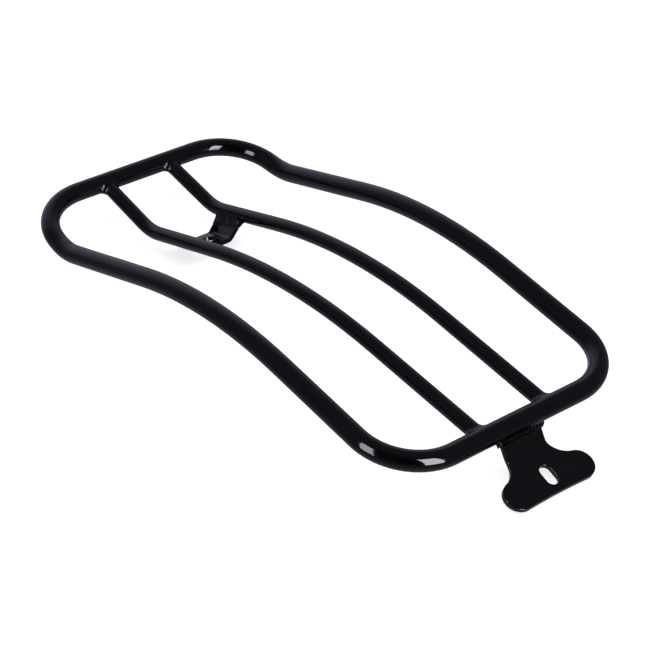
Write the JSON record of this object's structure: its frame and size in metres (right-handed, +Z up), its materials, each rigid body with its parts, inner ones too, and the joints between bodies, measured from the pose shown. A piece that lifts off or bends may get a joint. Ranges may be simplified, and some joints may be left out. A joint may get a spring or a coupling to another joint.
{
  "type": "motorcycle luggage rack",
  "caption": "Rigid welded tube rack for a solo seat: humped rounded-rectangle hoop, two inner rails, slotted rear tab and slotted front bridge.",
  "frame": {"origin": "on the surface the rack stands on, under the middle of its outline", "axes": "+Y forwards towards the seat, +X to the right across the rack, +Z up"},
  "size_m": [0.192, 0.4252, 0.0578],
  "materials": {
    "gloss_black": "gloss",
    "painted_weld": "gloss"
  },
  "bodies": {
    "root": {"hoop_tube": "gloss_black", "hoop_seam_weld": "painted_weld", "rail_right": "gloss_black", "rail_left": "gloss_black", "rail_weld_front_right": "painted_weld", "rail_weld_front_left": "painted_weld", "rail_weld_rear_right": "painted_weld", "rail_weld_rear_left": "painted_weld", "rear_tab": "gloss_black", "tab_weld_upper": "painted_weld", "tab_weld_lower": "painted_weld", "front_bridge": "gloss_black", "bridge_weld_inner_right": "painted_weld", "bridge_weld_inner_left": "painted_weld", "bridge_weld_under_right": "painted_weld", "bridge_weld_under_left": "painted_weld"}
  },
  "joints": []
}
